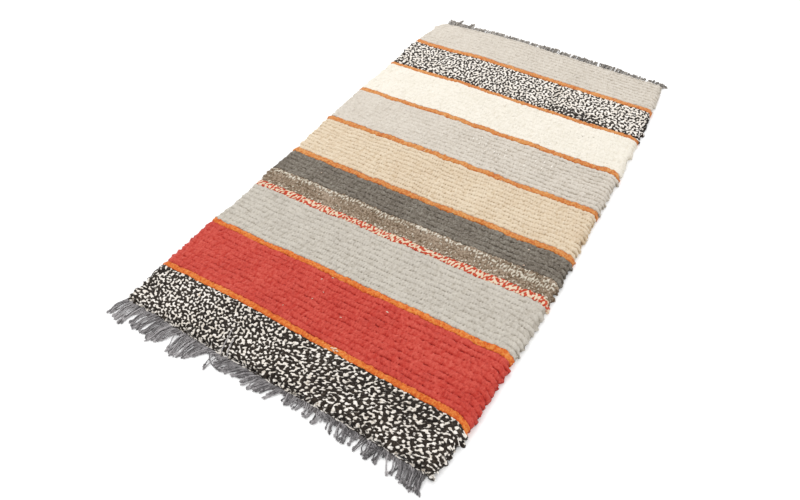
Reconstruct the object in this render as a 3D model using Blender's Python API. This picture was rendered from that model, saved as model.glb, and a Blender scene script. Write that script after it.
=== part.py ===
"""A hand-knotted wool rug with a short fringe at both ends, lying flat on the floor.

Metres, +Z up. The origin is the middle of the rug's underside. +X runs across the rug and +Y
along it, from the near end to the far end. The rug is one solid whose rows of knots stand up as
ribs. Each fringe is a narrow woven strip with its strands fused to it at their roots.
"""
import math
import random

import bmesh
import bpy
import numpy as np
from mathutils import Vector

# The rug
RUG_LENGTH = 1.600
RUG_WIDTH = 0.880
PILE_HEIGHT = 0.020
ROW_PITCH = 0.013
ROW_RELIEF = 0.0025
ROW_SCALLOP = 0.001
ROW_WANDER = 0.003
ROW_WANDER_LENGTH = 0.60

# The woven strips and their strands
STRIP_WIDTH = 0.012
STRIP_HEIGHT = 0.0024
STRIP_TUCK = 0.0004
STRIP_STATION = 0.040
STRAND_WIDTH = 0.0024
STRAND_TOP_SHARE = 0.6
STRAND_TIP_SHARE = 0.85
STRAND_LENGTH_SPREAD = 0.005
NEAR_STRAND_PITCH = 0.0058
NEAR_STRAND_STEPS = 3
FAR_STRAND_PITCH = 0.0072
FAR_STRAND_STEPS = 2

# How far each long side strays from a straight one, towards +X.
# Columns: distance from the near end, left side, right side.
SIDES = (
    (0.000, 0.012, -0.026),
    (0.065, 0.004, -0.015),
    (0.130, -0.005, -0.002),
    (0.200, 0.001, 0.001),
    (0.315, -0.005, 0.002),
    (0.410, 0.002, 0.001),
    (0.570, -0.004, 0.012),
    (0.680, 0.000, 0.007),
    (0.950, -0.010, 0.006),
    (1.080, -0.010, 0.008),
    (1.250, -0.009, 0.002),
    (1.395, -0.011, -0.004),
    (1.530, -0.006, -0.012),
    (1.575, 0.008, -0.014),
    (1.600, 0.034, -0.018),
)

# How far each end strays from a straight one, towards +Y.
# Columns: share of the width from the left, near end, far end.
ENDS = (
    (0.0, 0.000, 0.000),
    (0.2, 0.000, 0.006),
    (0.4, 0.000, 0.008),
    (0.6, 0.000, 0.001),
    (0.8, -0.001, -0.008),
    (1.0, -0.008, -0.014),
)

# The rounded side of the pile, from the floor up to the top.
# Columns: inset from the widest line, inset where a line meets the rim on the floor, share of
# the pile's height.
SHOULDER = (
    (0.0015, 0.0015, 0.00),
    (0.0000, 0.0025, 0.30),
    (0.0040, 0.0040, 0.82),
    (0.0120, 0.0120, 1.00),
)

# The locks that the strands lie in, from left to right.
# Columns: first and last root, first and last tip, reach of the first and of the last strand.
# Roots and tips are places along X, and a reach is measured from the foot of the pile.
NEAR_LOCKS = (
    (-0.422, -0.381, -0.444, -0.400, 0.052, 0.060),
    (-0.373, -0.268, -0.376, -0.282, 0.046, 0.053),
    (-0.252, -0.168, -0.250, -0.178, 0.060, 0.040),
    (-0.148, -0.136, -0.144, -0.136, 0.047, 0.050),
    (-0.106, -0.034, -0.124, -0.060, 0.024, 0.031),
    (-0.022, 0.040, -0.042, 0.018, 0.029, 0.034),
    (0.049, 0.142, 0.055, 0.138, 0.026, 0.029),
    (0.160, 0.235, 0.174, 0.231, 0.028, 0.032),
    (0.243, 0.305, 0.242, 0.304, 0.030, 0.039),
    (0.316, 0.331, 0.328, 0.334, 0.041, 0.042),
    (0.346, 0.399, 0.354, 0.406, 0.043, 0.045),
)
FAR_LOCKS = (
    (-0.420, -0.362, -0.423, -0.364, 0.056, 0.072),
    (-0.341, -0.333, -0.340, -0.334, 0.078, 0.080),
    (-0.316, -0.265, -0.314, -0.266, 0.058, 0.062),
    (-0.252, -0.232, -0.251, -0.233, 0.060, 0.058),
    (-0.221, -0.058, -0.220, -0.060, 0.056, 0.060),
    (-0.031, 0.017, -0.030, 0.016, 0.060, 0.062),
    (0.031, 0.107, 0.032, 0.106, 0.060, 0.062),
    (0.117, 0.179, 0.118, 0.178, 0.060, 0.058),
    (0.191, 0.325, 0.192, 0.324, 0.060, 0.050),
    (0.335, 0.419, 0.336, 0.420, 0.050, 0.040),
)


def read(table, column, at):
    """Read a column of a table at a place in its first column, straight between its rows."""
    return float(np.interp(at, [row[0] for row in table], [row[column] for row in table]))


def side_lines(along):
    """Return the x of the left and of the right side, at a distance from the near end."""
    left = -RUG_WIDTH / 2 + read(SIDES, 1, along)
    right = RUG_WIDTH / 2 + read(SIDES, 2, along)
    return left, right


def foot_line(end):
    """Return the foot of the pile at an end as points along X, one for each row of ENDS."""
    along = RUG_LENGTH if end > 0 else 0.0
    left, right = side_lines(along)
    column = 2 if end > 0 else 1
    return [(left + row[0] * (right - left), end * RUG_LENGTH / 2 + row[column]) for row in ENDS]


def row_stations():
    """List the rug's lines along Y from the near end to the far end.

    Each is its distance from the near end, the same on the rim, its height share, and 1 in a
    groove.
    """
    floor, bulge = SHOULDER[0], SHOULDER[1]
    rows = round(RUG_LENGTH / ROW_PITCH)
    pitch = RUG_LENGTH / rows
    stations = [(inset, rim_inset, height, 0) for inset, rim_inset, height in (floor, bulge)]
    for row in range(rows):
        stations.append(((row + 0.5) * pitch, (row + 0.5) * pitch, 1.0, 0))
        if row < rows - 1:
            stations.append(((row + 1) * pitch, (row + 1) * pitch, 1.0, 1))
    for inset, rim_inset, height in (bulge, floor):
        stations.append((RUG_LENGTH - inset, RUG_LENGTH - rim_inset, height, 0))
    return stations


def across_stations():
    """List the rug's lines along X from the left side to the right side.

    Each is its share of the width, the way inwards from that side (0 between the shoulders),
    its inset that way, the same on the rim, and its height share.
    """
    left = [(0.0, 1, inset, rim_inset, height) for inset, rim_inset, height in SHOULDER]
    middle = [(share, 0, 0.0, 0.0, 1.0) for share, _, _ in ENDS[1:-1]]
    right = [(1.0, -1, inset, rim_inset, height) for inset, rim_inset, height in SHOULDER]
    return left + middle + right[::-1]


def rug_point(across, along):
    """Place one point of the rug's upper surface from a line across and a line along."""
    share, inward, inset, rim_inset, side_height = across
    distance, rim_distance, end_height, groove = along
    if end_height == 0:
        inset = rim_inset
    if side_height == 0:
        distance = rim_distance
    left, right = side_lines(distance)
    x = left + share * (right - left) + inward * (inset + groove * ROW_SCALLOP)
    width_share = (x - left) / (right - left)
    near = read(ENDS, 1, width_share)
    far = read(ENDS, 2, width_share)
    length_share = distance / RUG_LENGTH
    wander = ROW_WANDER * math.sin(math.tau * (x / ROW_WANDER_LENGTH + length_share))
    y = -RUG_LENGTH / 2 + distance + near + length_share * (far - near)
    y += wander * math.sin(math.pi * length_share)
    height = (PILE_HEIGHT - groove * ROW_RELIEF) * min(side_height, end_height)
    return Vector((x, y, height))


def face_outward(mesh):
    """Make the faces of a closed mesh agree, then turn them all if its volume is negative."""
    bmesh.ops.recalc_face_normals(mesh, faces=mesh.faces)
    if mesh.calc_volume(signed=True) < 0:
        bmesh.ops.reverse_faces(mesh, faces=mesh.faces)


def rug_mesh():
    """A grid pulled into the ribbed pile, with its rim on the floor closed by a flat underside."""
    columns = across_stations()
    rows = row_stations()
    last_column = len(columns) - 1
    last_row = len(rows) - 1
    mesh = bmesh.new()
    bmesh.ops.create_grid(mesh, x_segments=last_column, y_segments=last_row, size=0.5)
    for vertex in mesh.verts:
        column = round((vertex.co.x + 0.5) * last_column)
        row = round((vertex.co.y + 0.5) * last_row)
        vertex.co = rug_point(columns[column], rows[row])
    rim = [edge for edge in mesh.edges if edge.is_boundary]
    bmesh.ops.contextual_create(mesh, geom=rim)
    face_outward(mesh)
    return mesh


def strands_of(locks, pitch, seed):
    """Spread each lock's strands between its first and last, with uneven tips."""
    spread = random.Random(seed)
    strands = []
    for first_root, last_root, first_tip, last_tip, first_reach, last_reach in locks:
        count = round((last_root - first_root) / pitch) + 1
        for number in range(count):
            share = number / (count - 1)
            root = first_root + share * (last_root - first_root)
            tip = first_tip + share * (last_tip - first_tip)
            reach = first_reach + share * (last_reach - first_reach)
            reach += spread.uniform(-0.5, 0.5) * STRAND_LENGTH_SPREAD
            strands.append((root, tip, reach))
    return strands


def across(heading):
    """Return the level direction square to a heading that points most nearly along +X."""
    side = Vector((1.0, 0.0, 0.0))
    return (side - side.dot(heading) * heading).normalized()


def grow_strand(mesh, face, tip, steps):
    """Extrude a strand from its root face to its tip, along a bend that lies on the floor."""
    root = face.calc_center_median()
    root.z = 0.0
    knee = Vector((root.x, (root.y + tip.y) / 2, 0.0))
    side = Vector((1.0, 0.0, 0.0))
    for step in range(1, steps + 1):
        share = step / steps
        middle = (1 - share) ** 2 * root + 2 * share * (1 - share) * knee + share**2 * tip
        heading = ((1 - share) * (knee - root) + share * (tip - knee)).normalized()
        size = 1.0 - share * (1.0 - STRAND_TIP_SHARE)
        face = bmesh.ops.extrude_discrete_faces(mesh, faces=[face])["faces"][0]
        centre = face.calc_center_median()
        for vertex in face.verts:
            hand = 1.0 if (vertex.co - centre).dot(side) > 0 else -1.0
            above = vertex.co.z > centre.z
            half_width = size * STRAND_WIDTH / 2 * (STRAND_TOP_SHARE if above else 1.0)
            vertex.co = middle + hand * half_width * across(heading)
            vertex.co.z = size * STRIP_HEIGHT if above else 0.0
        side = across(heading)


def fringe_mesh(end, strands, steps):
    """A flat strip along the foot of the pile, with strands grown from its outer wall."""
    foot = foot_line(end)
    foot_x = [point[0] for point in foot]
    foot_y = [point[1] for point in foot]
    margin = 2 * STRAND_WIDTH
    start = strands[0][0] - margin
    finish = strands[-1][0] + margin

    def wall(x, outward):
        return Vector((x, float(np.interp(x, foot_x, foot_y)) + end * outward, 0.0))

    stations = round((finish - start) / STRIP_STATION)
    inner_x = [start + number * (finish - start) / stations for number in range(stations + 1)]
    inner_x = sorted(inner_x + [x for x in foot_x if start < x < finish])
    outer_x = [start]
    for root, _, _ in strands:
        outer_x += [root - STRAND_WIDTH / 2, root + STRAND_WIDTH / 2]
    outer_x.append(finish)

    mesh = bmesh.new()
    outer = [mesh.verts.new(wall(x, STRIP_WIDTH)) for x in outer_x]
    inner = [mesh.verts.new(wall(x, -STRIP_TUCK)) for x in reversed(inner_x)]
    floor = mesh.faces.new(outer + inner)
    raised = bmesh.ops.extrude_face_region(mesh, geom=[floor])
    for item in raised["geom"]:
        if isinstance(item, bmesh.types.BMVert):
            item.co.z = STRIP_HEIGHT
    roots = []
    for number in range(len(strands)):
        edge = mesh.edges.get((outer[2 * number + 1], outer[2 * number + 2]))
        roots.append(next(face for face in edge.link_faces if len(face.verts) == 4))
    for face, (_, tip, reach) in zip(roots, strands):
        grow_strand(mesh, face, wall(tip, reach), steps)
    face_outward(mesh)
    return mesh


def wool(name, colour, roughness):
    """Make a dull woollen material of one colour."""
    material = bpy.data.materials.new(name)
    material.use_nodes = True
    shader = material.node_tree.nodes["Principled BSDF"]
    shader.inputs["Base Color"].default_value = (*colour, 1.0)
    shader.inputs["Roughness"].default_value = roughness
    shader.inputs["Metallic"].default_value = 0.0
    return material


def add_object(name, mesh, material, collection):
    """Turn a bmesh into a named object with its own material."""
    data = bpy.data.meshes.new(name)
    mesh.to_mesh(data)
    mesh.free()
    data.shade_smooth()
    data.set_sharp_from_angle(angle=math.radians(50))
    data.materials.append(material)
    collection.objects.link(bpy.data.objects.new(name, data))


for leftover in list(bpy.data.objects):
    bpy.data.objects.remove(leftover)

rug = bpy.data.collections.new("nepalese_rug")
bpy.context.scene.collection.children.link(rug)

rug_wool = wool("knotted_wool", colour=(0.56, 0.48, 0.40), roughness=0.95)
add_object("rug_body", rug_mesh(), rug_wool, rug)

near_strands = strands_of(NEAR_LOCKS, NEAR_STRAND_PITCH, seed=3)
near_yarn = wool("near_fringe_yarn", colour=(0.20, 0.19, 0.19), roughness=0.90)
add_object("fringe_near", fringe_mesh(-1, near_strands, NEAR_STRAND_STEPS), near_yarn, rug)

far_strands = strands_of(FAR_LOCKS, FAR_STRAND_PITCH, seed=5)
far_yarn = wool("far_fringe_yarn", colour=(0.13, 0.13, 0.13), roughness=0.90)
add_object("fringe_far", fringe_mesh(1, far_strands, FAR_STRAND_STEPS), far_yarn, rug)
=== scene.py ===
"""A hand-knotted wool rug lying flat: a woven foundation, crosswise bands of thick pile and a
grey fringe at each end. Metres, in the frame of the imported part, with +Y along the rug.
"""
import math

import bpy
import numpy as np
from mathutils import Matrix


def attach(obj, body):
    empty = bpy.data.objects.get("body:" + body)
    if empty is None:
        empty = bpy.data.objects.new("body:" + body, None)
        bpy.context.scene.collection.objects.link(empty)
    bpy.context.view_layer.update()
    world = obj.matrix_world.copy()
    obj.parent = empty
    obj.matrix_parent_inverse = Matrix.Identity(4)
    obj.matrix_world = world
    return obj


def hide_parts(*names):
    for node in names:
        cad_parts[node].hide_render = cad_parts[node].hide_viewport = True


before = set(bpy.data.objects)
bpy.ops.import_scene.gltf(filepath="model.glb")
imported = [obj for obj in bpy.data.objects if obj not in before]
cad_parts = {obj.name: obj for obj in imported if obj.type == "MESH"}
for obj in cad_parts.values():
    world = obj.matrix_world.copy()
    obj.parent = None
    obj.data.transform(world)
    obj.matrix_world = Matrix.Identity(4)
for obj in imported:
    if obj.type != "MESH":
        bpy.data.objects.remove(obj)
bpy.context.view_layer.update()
MM = 0.001

# Foundation
# The cloth that every knot is tied into: cotton warps with woollen wefts beaten down between the
# rows. It is one thin sheet that stays a little inside the pile's outline, so the pile hides it.
RUG_LENGTH = 1.600
RUG_WIDTH = 0.880
PILE_HEIGHT = 20 * MM
CLOTH_THICKNESS = 1.9 * MM
CLOTH_MARGIN = 7 * MM
CLOTH_PITCH = 20 * MM
WARP_SPACING = 3.6 * MM
SHARP_ANGLE = 70

# How far each long side strays from a straight one, towards +X.
# Columns: distance from the near end, left side, right side.
SIDES = np.array([
    (0.000, 0.008, -0.020),
    (0.065, 0.004, -0.014),
    (0.130, 0.000, -0.005),
    (0.200, 0.001, -0.002),
    (0.315, -0.005, 0.001),
    (0.410, 0.002, 0.007),
    (0.570, -0.006, 0.009),
    (0.680, -0.005, 0.006),
    (0.950, -0.016, 0.003),
    (1.080, -0.017, 0.002),
    (1.250, -0.016, -0.004),
    (1.395, -0.021, -0.011),
    (1.530, -0.009, -0.019),
    (1.575, -0.002, -0.025),
    (1.600, 0.023, -0.029),
])

# How far the weft lines stray from straight ones, towards +Y, in millimetres.
# Columns: distance from the near end, then the stray at each share of the width.
WEFT_SHARES = np.array([0.02, 0.18, 0.34, 0.50, 0.66, 0.82, 0.91, 0.97, 1.0])
WEFT_LINES = np.array([
    (0.000, 4.0, 4.0, 2.0, 2.5, 5.0, 3.0, 0.5, -2.5, -7.0),
    (0.139, -7.0, -2.5, -0.5, -3.5, -4.5, -5.5, -6.5, -9.5, -23.0),
    (0.324, -10.0, -9.5, -4.0, -5.0, -3.0, 0.0, 0.5, 0.5, -9.0),
    (0.504, -6.5, -5.0, -1.0, 1.0, 3.5, 7.0, 8.0, 8.0, 1.0),
    (0.675, -1.5, -2.0, -2.5, -2.5, 0.5, 2.5, 5.0, 6.0, 1.0),
    (0.869, -5.0, -6.5, 2.0, 1.0, 0.5, 0.0, 2.5, 4.0, -3.0),
    (1.060, -9.0, -5.0, 3.0, 1.5, 1.5, -1.0, 1.5, 3.0, -5.0),
    (1.253, -6.5, -5.0, 5.0, -2.0, -2.0, -1.5, 0.5, 2.0, -4.0),
    (1.429, -2.0, 0.5, 8.5, 2.5, 0.0, -3.0, -3.5, -4.0, -8.0),
    (1.600, 4.0, 18.0, 23.0, 18.0, 12.0, 5.5, 1.5, -0.5, -2.0),
])


def smooth(at, stations, values):
    """Read values at new places on a smooth curve.

    Between two stations it is the cubic that meets both values with the slopes there, and each
    slope is the one between the station's neighbours.
    """
    at = np.clip(at, stations[0], stations[-1])
    slopes = np.gradient(values, stations, axis=0)
    low = np.clip(np.searchsorted(stations, at, side="right") - 1, 0, len(stations) - 2)
    width = stations[low + 1] - stations[low]
    t = (at - stations[low]) / width
    if values.ndim > 1:
        t, width = t[:, None], width[:, None]
    start = (2 * t**3 - 3 * t**2 + 1) * values[low] + (t**3 - 2 * t**2 + t) * width * slopes[low]
    end = (3 * t**2 - 2 * t**3) * values[low + 1] + (t**3 - t**2) * width * slopes[low + 1]
    return start + end


def side_edges(distance):
    """Return the x of the left and right side at each distance from the near end."""
    strays = smooth(distance, SIDES[:, 0], SIDES[:, 1:])
    return strays[:, 0] - RUG_WIDTH / 2, strays[:, 1] + RUG_WIDTH / 2


def weft_y(distance, share):
    """Return the y of weft lines, one row a distance and one column a share of the width."""
    strays = smooth(distance, WEFT_LINES[:, 0], WEFT_LINES[:, 1:])
    strays = smooth(share, WEFT_SHARES, strays.T).T * MM
    return -RUG_LENGTH / 2 + distance[:, None] + strays


def ring_faces(lines, columns):
    """Quads round a closed ring of lines, with a many-sided cap over the ring's two ends."""
    corner = np.arange(lines * columns).reshape(lines, columns)
    following = np.roll(corner, -1, axis=0)
    around = [corner[:, :-1], corner[:, 1:], following[:, 1:], following[:, :-1]]
    quads = np.stack(around, axis=-1)
    caps = [corner[:, 0].tolist(), corner[::-1, -1].tolist()]
    return quads.reshape(-1, 4).tolist() + caps


def add_piece(name, points, faces, material, values=None):
    """Make a smooth-shaded mesh object, with a number at each point for every named value."""
    mesh = bpy.data.meshes.new(name)
    mesh.from_pydata(points.reshape(-1, 3), [], faces)
    for value_name, numbers in (values or {}).items():
        attribute = mesh.attributes.new(value_name, "FLOAT", "POINT")
        attribute.data.foreach_set("value", numbers.ravel().astype(np.float32))
    mesh.shade_smooth()
    mesh.set_sharp_from_angle(angle=math.radians(SHARP_ANGLE))
    mesh.materials.append(material)
    piece = bpy.data.objects.new(name, mesh)
    bpy.context.scene.collection.objects.link(piece)
    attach(piece, "root")
    return piece


def linear(code):
    """Turn a six-digit sRGB hex code into a linear colour with full opacity."""
    parts = np.array([int(code[i : i + 2], 16) for i in (0, 2, 4)]) / 255
    parts = np.where(parts <= 0.04045, parts / 12.92, ((parts + 0.055) / 1.055) ** 2.4)
    return (*parts.tolist(), 1.0)


def add_node(tree, kind, inputs=None, **settings):
    """Add a node, set its settings, and fill its inputs with values or links."""
    node = tree.nodes.new(kind)
    for setting, value in settings.items():
        setattr(node, setting, value)
    for socket, value in (inputs or {}).items():
        if isinstance(value, bpy.types.NodeSocket):
            tree.links.new(value, node.inputs[socket])
        else:
            node.inputs[socket].default_value = value
    return node


def cotton_cloth(name, light, dark, streak=1.0):
    """Plain-woven cotton and wool, matt, with a thread's width of grain in colour and relief.

    The grain is `streak` times longer along X.
    """
    material = bpy.data.materials.new(name)
    material.use_nodes = True
    tree = material.node_tree
    place = add_node(tree, "ShaderNodeTexCoord").outputs["Object"]
    place = add_node(
        tree, "ShaderNodeMapping", {"Vector": place, "Scale": (1 / streak, 1, 1)}
    ).outputs["Vector"]
    grain = add_node(
        tree,
        "ShaderNodeTexNoise",
        {"Vector": place, "Scale": 1 / WARP_SPACING, "Detail": 4.0, "Roughness": 0.6},
    )
    tint = add_node(
        tree,
        "ShaderNodeMix",
        {"Factor": grain.outputs["Fac"], 6: linear(dark), 7: linear(light)},
        data_type="RGBA",
    )
    relief = add_node(
        tree,
        "ShaderNodeBump",
        {"Height": grain.outputs["Fac"], "Strength": 0.6, "Distance": 0.4 * MM},
    )
    shader = tree.nodes["Principled BSDF"]
    shader.inputs["Roughness"].default_value = 0.92
    shader.inputs["Specular IOR Level"].default_value = 0.2
    tree.links.new(tint.outputs[2], shader.inputs["Base Color"])
    tree.links.new(relief.outputs["Normal"], shader.inputs["Normal"])
    return material


def foundation():
    """A flat, thin slab of cloth between the sides and ends of the rug."""
    count = round(RUG_LENGTH / CLOTH_PITCH)
    distance = np.linspace(CLOTH_MARGIN, RUG_LENGTH - CLOTH_MARGIN, count)
    share = np.linspace(0, 1, round(RUG_WIDTH / CLOTH_PITCH))
    left, right = side_edges(distance)
    x = (left + CLOTH_MARGIN)[:, None] + share * (right - left - 2 * CLOTH_MARGIN)[:, None]
    y = weft_y(distance, share)
    upper = np.stack([x, y, np.full_like(x, CLOTH_THICKNESS)], axis=-1)
    lower = np.stack([x, y, np.zeros_like(x)], axis=-1)[::-1]
    points = np.concatenate([upper, lower])
    return points, ring_faces(2 * count, len(share))


warp_cotton = cotton_cloth("warp_cotton", "8d8984", "5f5c59")
foundation_cloth = add_piece("foundation_cloth", *foundation(), warp_cotton)
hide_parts("rug_body")

# Plain pile
# Rows of cut wool knots, each knot about 7 mm wide and each row about 17 mm long, in bands of one
# colour. The rows part along a narrow groove, which shows as short dashes or as a line of pits.
KNOT_WIDTH = 7.4 * MM
COLUMNS_PER_KNOT = 4
ROW_SHARES = np.array([0.0, 0.09, 0.27, 0.5, 0.73, 0.91])
KNOT_DEPTH = 1.1 * MM
KNOT_UNEVEN = 0.6 * MM
SURFACE_LUMP = 0.5 * MM
# The depth below the smooth pile at which the painted shade in a groove is full.
FULL_SHADE_DEPTH = 4.5 * MM
EDGE_LUMP = 1.5 * MM
SHOULDER_RUN = 15 * MM
SHOULDER_TUCK = 1.5 * MM
SIDE_STRAY = 0.14
SHOULDER_GAP = 0.4 * MM
SHOULDER_STEPS = 14
WIDEST_HEIGHT = 4 * MM
RIM_HEIGHT = 0.8 * MM
FLOOR_GAP = 0.2 * MM
END_FLOOR = 2.4 * MM
CURTAIN_GAP = 0.3 * MM
UNDER_TUCK = 12 * MM
NOISE_STEP = 1.5 * MM
NOISE_SHAPE = (1152, 720)
NOISE_MARGIN = 30
ROW_WANDER = 1.3 * MM
ROW_RAGGED = 1.1 * MM
KNOT_WANDER = 0.6 * MM
PILE_SWELL = 0.03
# How much darker the outer sides of the pile are: painted shade where the pile opens, and the
# foundation showing through.
SIDE_SHADE_AND_FOUNDATION = 0.55
TUFT_SIZE = 6 * MM
PATCH_SIZE = 90 * MM
FIBRE_SIZE = 2 * MM
PAINTED_SHADE_POWER = 1.55
ROW_COUNT = 100
KNOT_COUNT = 140


def noise(seed, wave, centre=0.0, spread=1.0, stretch=1.0, slant=0.0):
    """Even noise over the whole rug, with unit spread.

    White noise keeps only the waves whose length is near `wave`: each is weighed by a bell curve
    in wave count, about `centre` with the width `spread`. Waves are `stretch` times longer along
    a line slanted from +X.
    """
    white = np.random.default_rng(seed).standard_normal(NOISE_SHAPE)
    count_y = np.fft.fftfreq(NOISE_SHAPE[0], NOISE_STEP)[:, None]
    count_x = np.fft.rfftfreq(NOISE_SHAPE[1], NOISE_STEP)[None, :]
    along = count_x * math.cos(slant) + count_y * math.sin(slant)
    square = count_y * math.cos(slant) - count_x * math.sin(slant)
    count = np.hypot(along * stretch, square) * wave
    kept = np.fft.rfft2(white) * np.exp(-(((count - centre) / spread) ** 2))
    kept[0, 0] = 0
    field = np.fft.irfft2(kept, s=NOISE_SHAPE)
    return field / field.std()


def sample(field, across, distance):
    """Read a noise field at places on the rug, straight between its four nearest numbers."""
    column = across / NOISE_STEP + NOISE_SHAPE[1] / 2
    line = distance / NOISE_STEP + NOISE_MARGIN
    column, line = np.broadcast_arrays(column, line)
    left, low = np.floor(column).astype(int), np.floor(line).astype(int)
    u, v = column - left, line - low
    near = (1 - u) * field[low, left] + u * field[low, left + 1]
    far = (1 - u) * field[low + 1, left] + u * field[low + 1, left + 1]
    return (1 - v) * near + v * far


def shoulder(steps):
    """The rounded side of the pile, from the rim to the top.

    Returns insets, heights and how far each point is from the top along the surface. Above the
    widest line it is a quarter of an ellipse, and below it a smaller one that tucks in.
    """
    turn = np.linspace(-math.pi / 2, math.pi / 2, steps)
    low = turn < 0
    inset = np.where(low, SHOULDER_TUCK, SHOULDER_RUN) * (1 - np.cos(turn))
    rise = np.where(low, WIDEST_HEIGHT - RIM_HEIGHT, PILE_HEIGHT - WIDEST_HEIGHT)
    height = WIDEST_HEIGHT + rise * np.sin(turn)
    arc = np.concatenate([[0], np.cumsum(np.hypot(np.diff(inset), np.diff(height)))])
    return inset, height, arc[-1] - arc


def columns_across(per_knot):
    """The pile's columns from the left rim to the right one.

    Each has the side it is measured from (-1, 0 between the shoulders, 1), its inset there, its
    share between the shoulders, its height and its place across the unrolled surface.
    """
    inset, height, beyond = shoulder(SHOULDER_STEPS)
    flat_width = RUG_WIDTH - 2 * SHOULDER_RUN
    count = round(flat_width / KNOT_WIDTH) * per_knot
    share = np.linspace(0, 1, count + 1)[1:-1]
    return {
        "side": np.concatenate([-np.ones(len(inset)), np.zeros(len(share)), np.ones(len(inset))]),
        "inset": np.concatenate([inset, np.zeros(len(share)), inset[::-1]]),
        "share": np.concatenate([np.zeros(len(inset)), share, np.ones(len(inset))]),
        "height": np.concatenate([height, np.full(len(share), PILE_HEIGHT), height[::-1]]),
        "across": np.concatenate(
            [-flat_width / 2 - beyond, (share - 0.5) * flat_width, flat_width / 2 + beyond[::-1]]
        ),
    }


def band_lines(start, finish, rows, first_row, shares):
    """The pile's lines over a band of rows, from its start to its finish.

    Each has its distance, its height, its phase in the row, its row's number and its place along
    the unrolled surface. A band at either end of the rug also gets the lines that round its
    outermost row down to the woven strip.
    """
    names = ("distance", "height", "phase", "row", "along")
    pitch = (finish - start) / rows
    row = np.repeat(np.arange(rows), len(shares))
    phase = np.tile(shares, rows)
    row, phase = np.append(row, rows), np.append(phase, 0.0)
    distance = start + (row + phase) * pitch
    height = np.full(len(distance), PILE_HEIGHT)
    inset, rise, beyond = shoulder(SHOULDER_STEPS)
    rise = END_FLOOR + (rise - RIM_HEIGHT) * (PILE_HEIGHT - END_FLOOR) / (PILE_HEIGHT - RIM_HEIGHT)
    middle, zero = np.full(len(inset), 0.5), np.zeros(len(inset), int)
    lines = [distance, height, phase, row, distance]
    if start == 0:
        kept = distance > SHOULDER_RUN + SHOULDER_GAP
        wall = (inset, rise, middle, zero, SHOULDER_RUN - beyond)
        lines = [np.concatenate([w, line[kept]]) for w, line in zip(wall, lines)]
    if finish == RUG_LENGTH:
        kept = RUG_LENGTH - distance > SHOULDER_RUN + SHOULDER_GAP
        wall = (RUG_LENGTH - inset, rise, middle, zero + rows - 1, finish - SHOULDER_RUN + beyond)
        lines = [np.concatenate([line[kept], w[::-1]]) for w, line in zip(wall, lines)]
    lines[3] = lines[3] + first_row
    return dict(zip(names, lines))


wander_noise = noise(11, 70 * MM)
ragged_noise = noise(12, 10 * MM, stretch=2, slant=math.pi / 2)
swell_noise = noise(13, 160 * MM)
depth_noise = noise(14, 9 * MM, stretch=1.5)
lump_noise = noise(15, 6.5 * MM)
edge_noise = noise(16, 13 * MM)
knot_heights = np.random.default_rng(17).standard_normal((ROW_COUNT, KNOT_COUNT))
pit_depths = np.random.default_rng(18).uniform(0.2, 1.5, (ROW_COUNT, KNOT_COUNT))


def lay_pile(lines, columns):
    """Place the smooth surface of the pile, before its rows and knots are raised.

    Each point lies between the two sides on its weft line, at the lower of the heights that the
    side's shoulder and the end's shoulder give it. The shoulders stray in and out from row to
    row, the rows wander a little, and the pile swells.
    """
    distance, across, along = lines["distance"], columns["across"], lines["along"][:, None]
    left, right = side_edges(distance)
    run = right - left - 2 * SHOULDER_RUN
    x = (left + SHOULDER_RUN)[:, None] + columns["share"] * run[:, None]
    outward = columns["side"] * (SHOULDER_RUN - columns["inset"])
    x = x + outward * (1 + SIDE_STRAY * sample(edge_noise, outward, along))
    share = 0.5 + across / RUG_WIDTH
    y = weft_y(distance, share)
    calm = np.sin(math.pi * np.clip(distance / RUG_LENGTH, 0, 1))[:, None] ** 0.5
    y = y + calm * ROW_WANDER * sample(wander_noise, across, along)
    y = y + calm * ROW_RAGGED * sample(ragged_noise, across, along)
    x = x + KNOT_WANDER * sample(lump_noise, across, along + 0.03)
    z = np.minimum(lines["height"][:, None], columns["height"][None, :])
    z = z * (1 + PILE_SWELL * sample(swell_noise, across, along))
    return np.stack([x, y, z], axis=-1)


def knot_grid(row, across):
    """Return each point's phase across its knot, its nearest gap between knots and its knot."""
    place = across / KNOT_WIDTH + 0.5 * (row % 2)[:, None] + KNOT_COUNT / 2
    knot = np.floor(place + 1e-6).astype(int)
    gap = np.floor(place + 0.5).astype(int)
    return place - knot, gap, knot


def openness(lines, columns):
    """How far each point is down the outer side of the pile, from 0 on top to 1 at the rim."""
    height = np.minimum(lines["height"][:, None], columns["height"][None, :])
    return 1 - height / PILE_HEIGHT


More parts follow.
